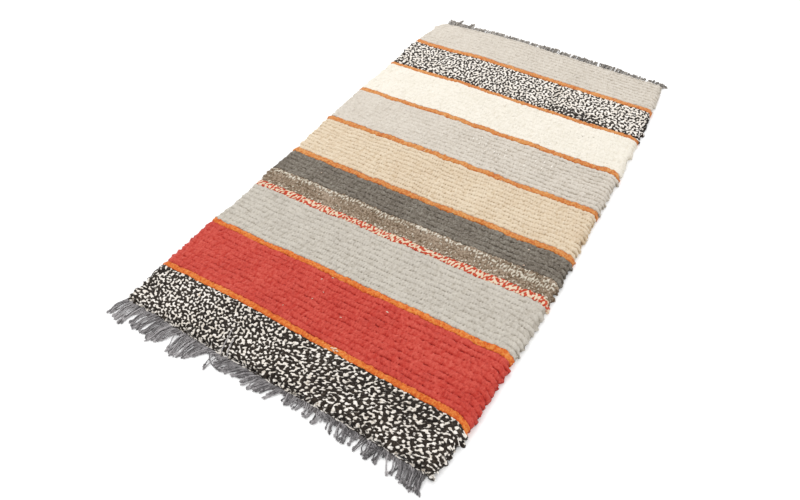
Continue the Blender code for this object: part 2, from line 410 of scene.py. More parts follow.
def raise_knots(lines, columns, depths, dashes, edge_lump=EDGE_LUMP):
    """How far each point stands off the smooth pile, and how much painted shade it gets (0 to 1).

    A row is flat-topped and falls to a narrow groove, by the fourth power of the distance from
    its middle. The groove's depth goes evenly from the first number at the left to the second at
    the right. It is open in dashes, by smooth noise along it, and in pits between its knots, each
    of its own depth; `dashes` is the share of the first. A knot falls off in the same way across
    the row and has its own height. The outer sides of the pile are lumpy.
    """
    across, along = columns["across"], lines["along"][:, None]
    depth = depths[0] + (depths[1] - depths[0]) * (0.5 + across / RUG_WIDTH)
    phase, row = lines["phase"][:, None], lines["row"]
    knot_phase, _, knot = knot_grid(row, across)
    beside = row + (lines["phase"] > 0.5)
    pit_phase, gap, _ = knot_grid(beside, across)
    groove = np.abs(2 * phase - 1) ** 4
    crease = np.abs(2 * knot_phase - 1) ** 4
    pit = np.abs(2 * pit_phase - 1) ** 4 * pit_depths[beside[:, None], gap]
    dash = np.clip(0.5 + 0.5 * sample(depth_noise, across, along), 0.0, 1.6)
    open_side = openness(lines, columns)
    off = -depth * groove * (dashes * dash + (1 - dashes) * (0.2 + pit) + open_side)
    off = off - KNOT_DEPTH * crease * (0.35 + 0.65 * groove)
    off = off + KNOT_UNEVEN * knot_heights[row[:, None], knot] * (1 - groove) * (1 - crease)
    off = off + SURFACE_LUMP * sample(lump_noise, across, along)
    off = off + edge_lump * np.sqrt(open_side) * sample(edge_noise, across, along)
    # Painted shade from 0 to 1: darker the deeper a point lies below the smooth pile, and darker
    # down the outer sides, partly as shade where the pile opens and partly as the foundation showing
    # through.
    return off, np.clip(-off / FULL_SHADE_DEPTH + SIDE_SHADE_AND_FOUNDATION * open_side, 0, 1)


def stand_off(points, off):
    """Move each point along the surface's own direction, square to its two grid directions."""
    along_column = np.gradient(points, axis=0)
    along_line = np.gradient(points, axis=1)
    normal = np.cross(along_line, along_column)
    normal /= np.linalg.norm(normal, axis=-1, keepdims=True)
    return points + normal * off[..., None]


def close_band(points):
    """Add the two lines that close a band underneath, as points in a ring of lines.

    Each lies under the band's first or last line, just over the foundation. It is a little
    shorter than that line, so that it stays hidden where the sides curve inwards.
    """
    ends = points[[0, -1]].copy()
    ends[..., 0] *= 1 - UNDER_TUCK / (RUG_WIDTH / 2)
    ends[0, :, 1] += CURTAIN_GAP
    ends[1, :, 1] -= CURTAIN_GAP
    ends[..., 2] = np.minimum(CLOTH_THICKNESS + FLOOR_GAP, ends[..., 2] - 2 * FLOOR_GAP)
    return np.concatenate([ends[:1], points, ends[1:]])


def with_ends(numbers):
    """Repeat the first and last line of a value, for the two lines that close a band."""
    return np.concatenate([numbers[:1], numbers, numbers[-1:]])


def cut_wool(name, tint, light, dark, mottle=0.5, other=None, soft=0.25):
    """Cut wool pile: dull, softly glowing at its edge, and never one even colour.

    Dyed yarn varies from tuft to tuft (6 mm), along broad patches (90 mm) and from fibre to fibre
    (2 mm). The value `groove` paints shade: it raises the colour to a higher power, so that it comes
    out darker and richer, as light that bounces down in a groove would. `other` is a second yarn,
    shown where the value `yarn` is above 0.
    """
    material = bpy.data.materials.new(name)
    material.use_nodes = True
    tree = material.node_tree
    place = add_node(tree, "ShaderNodeTexCoord").outputs["Object"]
    leaning = add_node(
        tree, "ShaderNodeMapping", {"Vector": place, "Rotation": (0, 0, 0.5), "Scale": (1, 0.4, 1)}
    ).outputs["Vector"]
    tufts = add_node(
        tree, "ShaderNodeTexNoise", {"Vector": place, "Scale": 1 / TUFT_SIZE, "Detail": 3.0}
    ).outputs["Fac"]
    patches = add_node(
        tree, "ShaderNodeTexNoise", {"Vector": place, "Scale": 1 / PATCH_SIZE, "Detail": 2.0}
    ).outputs["Fac"]
    fibres = add_node(
        tree,
        "ShaderNodeTexNoise",
        {"Vector": leaning, "Scale": 1 / FIBRE_SIZE, "Detail": 4.0, "Roughness": 0.65},
    ).outputs["Fac"]
    blend = add_node(
        tree, "ShaderNodeMath", {0: tufts, 1: fibres}, operation="ADD"
    ).outputs[0]
    blend = add_node(
        tree, "ShaderNodeMath", {0: patches, 1: 0.4, 2: blend}, operation="MULTIPLY_ADD"
    ).outputs[0]
    shift = add_node(
        tree,
        "ShaderNodeMapRange",
        {
            "Value": blend,
            "From Min": 0.85,
            "From Max": 1.55,
            "To Min": 0.5 - mottle,
            "To Max": 0.5 + mottle,
        },
    ).outputs["Result"]

    def shade(middle, pale, deep):
        ramp = add_node(tree, "ShaderNodeValToRGB", {"Fac": shift})
        ramp.color_ramp.elements[0].color = linear(deep)
        ramp.color_ramp.elements[1].color = linear(pale)
        ramp.color_ramp.elements.new(0.5).color = linear(middle)
        return ramp.outputs["Color"]

    colour = shade(tint, light, dark)
    if other is not None:
        yarn = add_node(tree, "ShaderNodeAttribute", attribute_name="yarn").outputs["Fac"]
        fuzzy = add_node(
            tree, "ShaderNodeMath", {0: fibres, 1: 0.8, 2: yarn}, operation="MULTIPLY_ADD"
        ).outputs[0]
        cover = add_node(
            tree,
            "ShaderNodeMapRange",
            {"Value": fuzzy, "From Min": 0.4 - soft, "From Max": 0.4 + soft},
            interpolation_type="SMOOTHSTEP",
        ).outputs["Result"]
        colour = add_node(
            tree, "ShaderNodeMix", {"Factor": cover, 6: colour, 7: shade(*other)}, data_type="RGBA"
        ).outputs[2]
    # Painted shade: a higher `groove` value raises the colour to a higher power, darker and richer.
    groove = add_node(tree, "ShaderNodeAttribute", attribute_name="groove").outputs["Fac"]
    power = add_node(
        tree, "ShaderNodeMapRange", {"Value": groove, "To Min": 1.0, "To Max": PAINTED_SHADE_POWER}
    ).outputs["Result"]
    colour = add_node(tree, "ShaderNodeGamma", {"Color": colour, "Gamma": power}).outputs["Color"]
    relief = add_node(
        tree, "ShaderNodeBump", {"Height": tufts, "Strength": 0.5, "Distance": 1.2 * MM}
    ).outputs["Normal"]
    relief = add_node(
        tree,
        "ShaderNodeBump",
        {"Height": fibres, "Strength": 0.7, "Distance": 0.7 * MM, "Normal": relief},
    ).outputs["Normal"]
    shader = tree.nodes["Principled BSDF"]
    shader.inputs["Roughness"].default_value = 0.95
    shader.inputs["Specular IOR Level"].default_value = 0.15
    shader.inputs["Sheen Weight"].default_value = 0.12
    shader.inputs["Sheen Roughness"].default_value = 0.5
    tree.links.new(colour, shader.inputs["Base Color"])
    tree.links.new(relief, shader.inputs["Normal"])
    return material


def add_band(name, lines, columns, off, values, material):
    """Raise a band off the smooth pile, close it underneath and add it to the rug.

    No point is below the height of the rim, and the rim itself stays at that height.
    """
    points = stand_off(lay_pile(lines, columns), off)
    points[..., 2] = np.maximum(points[..., 2], RIM_HEIGHT)
    points[:, [0, -1], 2] = RIM_HEIGHT
    points = close_band(points)
    values = {key: with_ends(numbers) for key, numbers in values.items()}
    piece = add_piece(name, points, ring_faces(*points.shape[:2]), material, values)
    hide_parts("rug_body")


wool_red = cut_wool("madder_red_wool", "bb453a", "c75b4d", "a0332b")
wool_orange = cut_wool("orange_wool", "cd712f", "d48c48", "bb5322", mottle=0.8)
wool_amber = cut_wool("amber_wool", "c37e42", "cb985e", "b26434", mottle=0.8)
wool_stone = cut_wool("stone_grey_wool", "b9b3a9", "c5bfb3", "a7a095")
wool_charcoal = cut_wool("charcoal_wool", "71695f", "888379", "564f47", mottle=0.65)
wool_beige = cut_wool("undyed_beige_wool", "cebda5", "d7cab4", "c0ac92")
wool_dove = cut_wool("dove_grey_wool", "c4bcb1", "cec8bd", "b4ada1")
wool_ivory = cut_wool("undyed_ivory_wool", "dbd5c9", "e2dcd1", "d0cabb")

# Columns: name, start and finish in millimetres from the near end, rows, rows before it, wool,
# depth of the groove at the left and right in millimetres, share of it that is dashes.
PLAIN_BANDS = (
    ("stripe_orange_1", 131, 147, 1, 8, wool_orange, 3.0, 3.0, 0.6),
    ("band_red", 147, 316, 10, 9, wool_red, 2.3, 4.2, 0.6),
    ("stripe_orange_2", 316, 332, 1, 19, wool_orange, 3.0, 3.0, 0.6),
    ("band_stone", 332, 492, 10, 20, wool_stone, 3.2, 3.8, 0.3),
    ("band_charcoal", 578, 666, 5, 35, wool_charcoal, 3.4, 4.9, 0.4),
    ("stripe_orange_3", 666, 684.5, 1, 40, wool_amber, 3.0, 3.0, 0.6),
    ("band_beige", 684.5, 859.5, 11, 41, wool_beige, 5.2, 5.4, 0.15),
    ("stripe_orange_4", 859.5, 879, 1, 52, wool_amber, 3.0, 3.0, 0.6),
    ("band_dove", 879, 1050.5, 10, 53, wool_dove, 0.7, 6.4, 0.4),
    ("stripe_orange_5", 1050.5, 1070, 1, 63, wool_amber, 3.0, 3.0, 0.6),
    ("band_ivory", 1070, 1245, 9, 64, wool_ivory, 0.6, 1.6, 0.3),
    ("stripe_orange_6", 1245, 1261.5, 1, 73, wool_amber, 3.0, 3.0, 0.6),
    ("stripe_orange_7", 1419, 1439.5, 1, 83, wool_amber, 3.0, 3.0, 0.6),
    ("band_dove_far", 1439.5, 1600, 10, 84, wool_dove, 1.6, 4.4, 0.5),
)
plain_columns = columns_across(COLUMNS_PER_KNOT)
for name, start, finish, rows, rows_before, wool, at_left, at_right, dashes in PLAIN_BANDS:
    lines = band_lines(start * MM, finish * MM, rows, rows_before, ROW_SHARES)
    off, groove = raise_knots(lines, plain_columns, (at_left * MM, at_right * MM), dashes)
    add_band(name, lines, plain_columns, off, {"groove": groove}, wool)

# Mixed pile
# Bands knotted with two yarns plied together, so that each shows in short curled lengths about
# 5 mm thick. The black and ivory ones are at both ends, with a red and ivory row and a brown one.
CURL_DEPTH = 1.7 * MM
CREASE_WIDTH = 0.5
MIXED_EDGE_LUMP = 3.0 * MM
FINE_COLUMNS_PER_KNOT = 5
FINE_ROW_SHARES = np.linspace(0, 1, 11)[:-1]

# In the right part of the near band: the weight of its clumps, the spread of its curls and clumps
# together, and how much fainter its yarns are. Then the level of noise where ivory starts to show
# in the band, and how much higher it is in that part.
CLUMP_WEIGHT = 0.5
RIGHT_SPREAD = 1.35
RIGHT_FADE = 0.3
IVORY_LEVEL = 0.36
IVORY_RISE = 0.05


def curls(seed, wave, stretch, slant_degrees, spread=0.28):
    """Noise of nearly one wavelength, whose positive parts are the curled lengths of one yarn."""
    return noise(seed, wave, 1.0, spread, stretch, math.radians(slant_degrees))


def bell(place, middle, width):
    """A smooth hump, 1 at its middle, that falls away on both sides."""
    return np.exp(-(((place - middle) / width) ** 2))


def ease(place, start, finish):
    """Rise smoothly from 0 at the start to 1 at the finish."""
    share = np.clip((place - start) / (finish - start), 0, 1)
    return share * share * (3 - 2 * share)


def side_share(columns):
    """How far each column is down a long side of the pile, from 0 on top to 1 at the rim."""
    return 1 - columns["height"] / PILE_HEIGHT


long_curls = curls(31, 10.5 * MM, 1.3, -35, 0.8)
short_curls = curls(32, 9.4 * MM, 1.6, 20, 0.7)
far_curls = curls(33, 11.5 * MM, 1.3, -60, 0.7)
marl_curls = curls(34, 8.6 * MM, 2.0, 74, 0.5)
speck_curls = curls(35, 7.0 * MM, 2.4, 84, 0.5)
clump_curls = curls(36, 17 * MM, 1.0, 0, 0.45)


def add_mixed_band(name, lines, columns, yarn, depth, wool, strength=1.0):
    """Add a band of two yarns, each length a ridge with a crease where it meets the other yarn.

    `depth` is that of the groove between rows, and `strength` is how clearly the yarns show.
    """
    off, groove = raise_knots(lines, columns, (depth, depth), 0.5, MIXED_EDGE_LUMP)
    crease = bell(yarn, 0, CREASE_WIDTH)
    off = off - CURL_DEPTH * crease
    # Painted shade: weaker from the groove, and added along the crease where the two yarns meet.
    groove = np.clip(0.6 * groove + 0.3 * crease, 0, 1)
    add_band(name, lines, columns, off, {"groove": groove, "yarn": yarn * strength}, wool)


fine_columns = columns_across(FINE_COLUMNS_PER_KNOT)
lines = band_lines(0.0, 131 * MM, 8, 0, FINE_ROW_SHARES)
across, along = fine_columns["across"], lines["along"][:, None]
rightward = ease(across, -0.15, 0.16)
clumps = CLUMP_WEIGHT * sample(clump_curls, across, along)
yarn = (1 - rightward) * sample(long_curls, across, along)
yarn += rightward * (sample(short_curls, across, along) + clumps)
yarn /= np.hypot(1 - rightward, RIGHT_SPREAD * rightward)
yarn -= IVORY_LEVEL + IVORY_RISE * rightward
wool_speckled = cut_wool(
    "black_and_ivory_wool", "2c2520", "41382f", "19130f", mottle=0.8,
    other=("e5dfd6", "f5f0ea", "c8beb1"), soft=0.22,
)
strength = 1 - RIGHT_FADE * rightward
add_mixed_band("band_speckled_near", lines, fine_columns, yarn, 1.2 * MM, wool_speckled, strength)

# Less ivory shows in a patch at the right and along the near edge. Down both sides less ivory shows
# too, as painted shade.
lines = band_lines(1261.5 * MM, 1419 * MM, 9, 74, ROW_SHARES)
across, along = plain_columns["across"], lines["along"][:, None]
yarn = sample(far_curls, across, along) - 0.06 + 0.12 * ease(across, -0.2, 0.3)
yarn -= 0.7 * bell(across, 0.225, 0.09) * bell(along, 1.285, 0.02)
# Painted shade: ivory is taken away down both sides of the band.
yarn -= 0.4 * bell(along, 1.264, 0.012) + 1.1 * side_share(plain_columns)
add_mixed_band("band_speckled_far", lines, plain_columns, yarn, 1.4 * MM, wool_speckled)

lines = band_lines(492 * MM, 515 * MM, 1, 30, FINE_ROW_SHARES)
yarn = sample(marl_curls, across, lines["along"][:, None])
wool_marl = cut_wool(
    "red_and_ivory_wool", "b9472d", "c75e41", "a43822", other=("d7c5ac", "dbcbb4", "cfb59a")
)
add_mixed_band("row_red_marl", lines, plain_columns, yarn, 1.2 * MM, wool_marl)

# More ivory shows in a thin line at the near edge, a broad one at the far edge and a patch at the
# right.
lines = band_lines(515 * MM, 578 * MM, 4, 31, ROW_SHARES)
along = lines["along"][:, None]
near_line, far_line = bell(along, 0.520, 0.006), bell(along, 0.569, 0.009)
patch = bell(across, 0.355, 0.085) ** 0.5 * bell(along, 0.550, 0.012)
yarn = sample(speck_curls, across, along) - 1.5 + 0.9 * near_line
yarn += 1.65 * far_line * (1 - 0.4 * ease(across, 0.1, 0.3)) + 1.9 * patch
wool_brown = cut_wool(
    "brown_and_ivory_wool", "867563", "a08f7d", "64533f", mottle=1.0,
    other=("c8c0b1", "d4cec3", "b3aa99"), soft=0.4,
)
add_mixed_band("band_brown", lines, plain_columns, yarn, 3.0 * MM, wool_brown)

# Woven end strips
# Beyond the last row at each end the weaver makes a narrow strip of plain weave that keeps the
# knots in. Its wefts are grey wool, packed so close that they show as fine ribs along the strip.
STRIP_WIDTH = 12 * MM
STRIP_UNDER = 6 * MM
STRIP_HEIGHT = 1.7 * MM
WEFT_PITCH = 2.6 * MM
WEFT_RELIEF = 0.45 * MM
STRIP_COLUMN = 1.7 * MM
STRIP_LINE = 0.9 * MM


def foot_y(x, end):
    """Return the y of the pile's foot at an end, for places along X."""
    distance = np.array([0.0 if end < 0 else RUG_LENGTH])
    left, right = side_edges(distance)
    share = (x - left[0]) / (right[0] - left[0])
    return weft_y(distance, share)[0]


def end_strip(end, start, finish):
    """A strip from under the pile outwards, whose wefts show as ribs along it.

    The height of its upper face is a cosine across the strip, taller over every other warp.
    """
    x = np.linspace(start, finish, round((finish - start) / STRIP_COLUMN))
    out = np.linspace(-STRIP_UNDER, STRIP_WIDTH, round((STRIP_WIDTH + STRIP_UNDER) / STRIP_LINE))
    out = out if end > 0 else out[::-1]
    warp = np.cos(math.tau * x / (2 * WARP_SPACING))
    rib = np.cos(math.tau * out / WEFT_PITCH)[:, None]
    z = STRIP_HEIGHT + WEFT_RELIEF * (0.7 * rib + 0.5 * rib * warp)
    z = z + 0.25 * MM * sample(lump_noise, x, np.abs(out)[:, None] + 0.2)
    y = foot_y(x, end) + end * out[:, None]
    y = y + 0.5 * MM * sample(ragged_noise, x, np.abs(out)[:, None] + 0.5)
    upper = np.stack([np.broadcast_to(x, z.shape), y, z], axis=-1)
    lower = upper[::-1].copy()
    lower[..., 2] = FLOOR_GAP
    points = np.concatenate([upper, lower[[0, -1]]])
    return points, ring_faces(*points.shape[:2])


strip_grey = cotton_cloth("grey_weft_wool", "9a9493", "565150", streak=5.0)
strip_dark = cotton_cloth("dark_weft_wool", "66615e", "3f3c3a", streak=5.0)
strip_near = add_piece("end_strip_near", *end_strip(-1, -0.428, 0.404), strip_grey)
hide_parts("fringe_near")
strip_far = add_piece("end_strip_far", *end_strip(1, -0.425, 0.406), strip_dark)
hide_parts("fringe_far")

# Twined cord
# A row of twining runs along the foot of the pile at the near end: an ivory and a black yarn that
# cross between the warps, so each shows in turn as a slanted dash.
CORD_RADIUS = 1.7 * MM
CORD_TURN = 24 * MM
CORD_STEP = 1.5 * MM
CORD_SIDES = 10
CORD_OUT = 1.2 * MM
CORD_HEIGHT = 4.6 * MM
CORD_WAVER = 0.7 * MM
CORD_HEAVE = 0.6 * MM


def twined_cord(start, finish):
    """A tube along the pile's foot whose surface winds round it, with `yarn` above 0 on ivory.

    The centreline is the foot with a slow waver. `yarn` is a cosine that turns with the length.
    """
    x = np.linspace(start, finish, round((finish - start) / CORD_STEP))
    y = foot_y(x, -1) - CORD_OUT + CORD_WAVER * sample(depth_noise, x, 0.7)
    z = CORD_HEIGHT + CORD_HEAVE * sample(depth_noise, x, 0.9)
    turn = np.linspace(0, math.tau, CORD_SIDES, endpoint=False)
    wave = turn - math.tau * x[:, None] / CORD_TURN
    uneven = 1.2 * sample(depth_noise, x, 1.1)[:, None]
    reach = CORD_RADIUS * (1 + 0.15 * np.cos(2 * wave + uneven))
    x = np.broadcast_to(x[:, None], reach.shape)
    y = y[:, None] - reach * np.cos(turn)
    z = z[:, None] + reach * np.sin(turn)
    return np.stack([x, y, z], axis=-1), np.cos(wave + uneven)


def tube_faces(tubes, rings, sides):
    """Quads round tubes of rings, with a many-sided cap on each end of a tube."""
    corner = np.arange(tubes * rings * sides).reshape(tubes, rings, sides)
    beside = np.roll(corner, -1, axis=2)
    around = [corner[:, :-1], corner[:, 1:], beside[:, 1:], beside[:, :-1]]
    quads = np.stack(around, axis=-1)
    caps = corner[:, 0].tolist() + corner[:, -1, ::-1].tolist()
    return quads.reshape(-1, 4).tolist() + caps


cord_points, cord_yarn = twined_cord(-0.300, 0.398)
cord = add_piece(
    "twined_cord",
    cord_points,
    tube_faces(1, *cord_points.shape[:2]),
    wool_speckled,
    {"yarn": cord_yarn, "groove": np.zeros_like(cord_yarn)},
)
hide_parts("rug_body")

# Near fringe
# The warp ends, twisted in pairs into yarn about 2.6 mm thick, each finished with a small overhand
# knot. They leave the pile's foot over the woven strip and lie on the floor in overlapping locks.
YARN_RADIUS = 1.3 * MM
YARN_TWIST = 7.5 * MM
TIP_KNOT = 1.3 * MM
YARN_SIDES = 8
NEAR_RINGS = 22
ROOT_INSIDE = -3 * MM
LAYER_SLOPE = 0.045
ROOT_SPREAD = 0.6 * MM
TIP_SPREAD = 3.0 * MM
REACH_SPREAD = 2.0 * MM
BEND_SPREAD = 2.4 * MM
BUNDLE_CHANCE = 0.38
WAVE_SPREAD = 2.4 * MM
HOOK_SPREAD = 2.2 * MM
HOOK_SHARE = 0.14
KNOT_PLACES = (0.86, 0.94)
KNOT_RUN = 0.05
HAIR_SIZE = 1.2 * MM
STRAND_SHADES = (-0.7, 1.1)
# How much painted shade falls where the two plies of a strand meet.
PLY_SHADE = 0.4
LEFT_SHADE = 0.8

# The locks from left to right, in millimetres along X and outwards from the pile's foot. The last
# four are short broken ends that lie matted over the strip.
# Columns: strands, first and last root, first and last tip, first and last reach of the tip, and
# lean, the share of the sideways run that a strand has made when it bends.
NEAR_LOCKS = (
    (3, -434, -426, -450, -443, 54, 58, 1.1),
    (14, -428, -394, -442, -402, 52, 61, 0.6),
    (6, -396, -378, -404, -390, 66, 44, 0.7),
    (9, -366, -336, -378, -360, 47, 56, 0.6),
    (14, -342, -298, -358, -318, 52, 53, 0.5),
    (8, -304, -278, -318, -304, 55, 62, 0.4),
    (13, -286, -246, -304, -278, 59, 49, 0.8),
    (8, -256, -230, -253, -238, 59, 61, 1.2),
    (5, -234, -216, -232, -222, 67, 67, 0.5),
    (15, -220, -166, -218, -196, 61, 51, 0.8),
    (8, -172, -142, -198, -182, 50, 36, 0.8),
    (11, -106, -64, -130, -106, 28, 34, 0.7),
    (17, -74, -18, -112, -66, 35, 30, 0.7),
    (9, -34, -2, -68, -32, 28, 20, 0.7),
    (5, -34, -16, -54, -40, 32, 39, 0.4),
    (15, -6, 34, -34, 0, 37, 34, 0.7),
    (10, 22, 54, -2, 32, 32, 20, 0.7),
    (2, 44, 48, 16, 20, 41, 39, 0.4),
    (13, 56, 104, 57, 98, 26, 29, 0.5),
    (3, 106, 116, 113, 120, 29, 28, 0.4),
    (10, 121, 154, 122, 152, 30, 35, 0.5),
    (4, 156, 170, 158, 170, 20, 22, 0.5),
    (6, 166, 194, 177, 199, 30, 34, 0.4),
    (7, 196, 224, 208, 228, 35, 39, 0.5),
    (6, 230, 266, 228, 256, 33, 41, 0.5),
    (9, 262, 294, 268, 290, 36, 42, 0.5),
    (5, 292, 308, 295, 305, 35, 42, 0.5),
    (14, 326, 366, 349, 377, 39, 44, 1.1),
    (16, 360, 396, 375, 400, 43, 43, 1.0),
    (6, 386, 402, 400, 413, 45, 42, 0.3),
    (30, -412, -150, -428, -174, 12, 15, 0.8),
    (44, -128, 54, -168, 10, 13, 16, 0.8),
    (24, 36, 148, 46, 160, 12, 14, 0.8),
    (48, 126, 366, 164, 396, 14, 17, 0.8),
)

# Single strands that bend or cross: the x of the root, then bend and tip as x and reach.
NEAR_LOOSE = (
    (-372, -378, 24, -402, 42),
    (-145, -147, 26, -147, 47),
    (-132, -139, 30, -141, 53),
    (-168, -140, 40, -110, 34),
    (312, 322, 24, 336, 47),
    (330, 329, 22, 337, 46),
    (347, 350, 26, 339, 39),
)


def yarns(centre, radius):
    """Round yarns along many centrelines at once, as points, faces and ply.

    Each ring of points is a circle square to its line, swollen and pinched twice round by the
    two plies, which turn with the distance along the line. Ply is 1 on a ply and 0 between them.
    """
    heading = np.gradient(centre, axis=1)
    step = np.linalg.norm(heading, axis=-1, keepdims=True)
    heading = heading / step
    side = np.cross(heading, (0.0, 0.0, 1.0))
    side /= np.linalg.norm(side, axis=-1, keepdims=True)
    up = np.cross(side, heading)
    length = np.cumsum(step[..., 0], axis=1)
    turn = np.linspace(0, math.tau, YARN_SIDES, endpoint=False)
    wave = np.cos(2 * turn - math.tau * length[..., None] / YARN_TWIST)
    reach = radius[..., None] * (1 + 0.16 * wave)
    ring = np.cos(turn)[:, None] * side[:, :, None] + np.sin(turn)[:, None] * up[:, :, None]
    points = centre[:, :, None] + reach[..., None] * ring
    return points, tube_faces(*wave.shape), 0.5 + 0.5 * wave


def plied_yarn(name, light, dark):
    """Two-ply woollen yarn: dull, with painted shade where its plies meet, and loose hairs as fine
    grain.

    Strands are not of one shade: the value `shade` is higher on the paler ones, and it also carries
    the painted shade between the plies.
    """
    material = bpy.data.materials.new(name)
    material.use_nodes = True
    tree = material.node_tree
    place = add_node(tree, "ShaderNodeTexCoord").outputs["Object"]
    hairs = add_node(
        tree,
        "ShaderNodeTexNoise",
        {"Vector": place, "Scale": 1 / HAIR_SIZE, "Detail": 4.0, "Roughness": 0.6},
    ).outputs["Fac"]
    uneven = add_node(
        tree, "ShaderNodeTexNoise", {"Vector": place, "Scale": 1 / (9 * MM), "Detail": 2.0}
    ).outputs["Fac"]
    shade = add_node(tree, "ShaderNodeAttribute", attribute_name="shade").outputs["Fac"]
    mixed = add_node(
        tree, "ShaderNodeMath", {0: hairs, 1: uneven}, operation="ADD"
    ).outputs[0]
    mixed = add_node(
        tree, "ShaderNodeMath", {0: shade, 1: 0.5, 2: mixed}, operation="MULTIPLY_ADD"
    ).outputs[0]
    level = add_node(
        tree, "ShaderNodeMapRange", {"Value": mixed, "From Min": 0.8, "From Max": 1.7}
    ).outputs["Result"]
    tint = add_node(
        tree, "ShaderNodeMix", {"Factor": level, 6: linear(dark), 7: linear(light)}, data_type="RGBA"
    ).outputs[2]
    relief = add_node(
        tree, "ShaderNodeBump", {"Height": hairs, "Strength": 0.6, "Distance": 0.35 * MM}
    ).outputs["Normal"]
    shader = tree.nodes["Principled BSDF"]
    shader.inputs["Roughness"].default_value = 0.9
    shader.inputs["Specular IOR Level"].default_value = 0.2
    shader.inputs["Sheen Weight"].default_value = 0.2
    tree.links.new(tint, shader.inputs["Base Color"])
    tree.links.new(relief, shader.inputs["Normal"])
    return material


def lock_strands(locks, loose, draw):
    """Spread each lock's strands from its first to its last, then add the loose ones.

    Each strand has three points, as x and reach: its root, its bend and its tip. In a lock the
    bend is about half the way out. Two or three neighbours often draw together at the tip.
    """
    strands = []
    for count, *ends, lean in locks:
        root, tip, reach = (np.linspace(*ends[i : i + 2], count) * MM for i in (0, 2, 4))
        root = root + draw.normal(0, ROOT_SPREAD, count)
        tip = tip + draw.normal(0, TIP_SPREAD, count)
        reach = reach + draw.normal(0, REACH_SPREAD, count)
        bundle = np.cumsum(draw.random(count) < BUNDLE_CHANCE)
        for number in range(bundle[-1] + 1):
            held = bundle == number
            if held.any():
                tip[held] = 0.3 * tip[held] + 0.7 * tip[held].mean()
                reach[held] = 0.7 * reach[held] + 0.3 * reach[held].max()
        bend = root + lean * draw.uniform(0.8, 1.2, count) * (tip - root)
        bend = bend + draw.normal(0, BEND_SPREAD, count)
        strands.append(np.stack([root, bend, reach * draw.uniform(0.4, 0.65, count), tip, reach]))
    return np.concatenate([*strands, np.array(loose).T * MM], axis=1)


def strand_lines(strands, end, rings, radius, draw):
    """Centrelines of strands from inside the pile's foot to their tips, lying over each other.

    Each is a quadratic curve by its bend, plus a small sideways sine that is nothing at the root
    and a hook to one side past the knot. It starts on the woven strip, rides over its neighbours
    on the way and comes down to the floor.
    """
    root, bend, bend_reach, tip, reach = strands
    t = np.linspace(0, 1, rings)
    start, knee, finish = (1 - t) ** 2, 2 * t * (1 - t), t**2
    x = np.outer(root, start) + np.outer(bend, knee) + np.outer(tip, finish)
    out = np.outer(np.full(len(root), ROOT_INSIDE), start) + np.outer(bend_reach, knee)
    out = out + np.outer(reach, finish)
    turns = draw.uniform(0.5, 1.5, len(root))[:, None]
    first = draw.uniform(0, math.tau, len(root))[:, None]
    size = draw.normal(0, WAVE_SPREAD, len(root))[:, None]
    x = x + size * t * (np.sin(math.tau * turns * t + first) - np.sin(first))
    hook = draw.normal(0, HOOK_SPREAD, len(root))[:, None]
    x = x + hook * np.clip((t - 1 + HOOK_SHARE) / HOOK_SHARE, 0, 1) ** 1.5
    y = foot_y(x.ravel(), end).reshape(x.shape) + end * out
    over_strip = STRIP_HEIGHT * np.clip((STRIP_WIDTH + 3 * MM - out) / (6 * MM), 0, 1)
    layer = draw.integers(0, 4, len(root))[:, None]
    z = 1.15 * radius + FLOOR_GAP + over_strip
    lift = LAYER_SLOPE * layer * reach[:, None]
    z = z + lift * np.sin(math.pi * np.clip(t, 0, 0.9) / 0.9) ** 2
    return np.stack([x, y, z], axis=-1)


def knotted(count, rings, draw):
    """Radii along strands, swollen at a knot near the tip and drawn in at the tail."""
    t = np.linspace(0, 1, rings)
    place = draw.uniform(*KNOT_PLACES, count)[:, None]
    radius = YARN_RADIUS * draw.uniform(0.85, 1.1, count)[:, None] * np.ones(rings)
    radius = radius + TIP_KNOT * bell(t, place, KNOT_RUN)
    return radius * np.where(t > 0.985, 0.5, 1.0)


def add_fringe(name, node, locks, loose, end, rings, seed, material):
    """Make the strands of one end as one piece, a little paler towards the left."""
    draw = np.random.default_rng(seed)
    strands = lock_strands(locks, loose, draw)
    radius = knotted(strands.shape[1], rings, draw)
    centre = strand_lines(strands, end, rings, radius, draw)
    points, faces, ply = yarns(centre, radius)
    # Painted shade where the two plies meet, plus each strand's own tone.
    shade = PLY_SHADE * ply + draw.uniform(*STRAND_SHADES, len(radius))[:, None, None]
    shade = shade - LEFT_SHADE * centre[:, :1, :1]
    piece = add_piece(name, points, faces, material, {"shade": shade})
    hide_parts(node)
    return piece


fringe_near = add_fringe(
    "fringe_near_strands", "fringe_near", NEAR_LOCKS, NEAR_LOOSE,
    end=-1, rings=NEAR_RINGS, seed=41,
    material=plied_yarn("grey_fringe_yarn", "a5a1a2", "4f4c4d"),
)

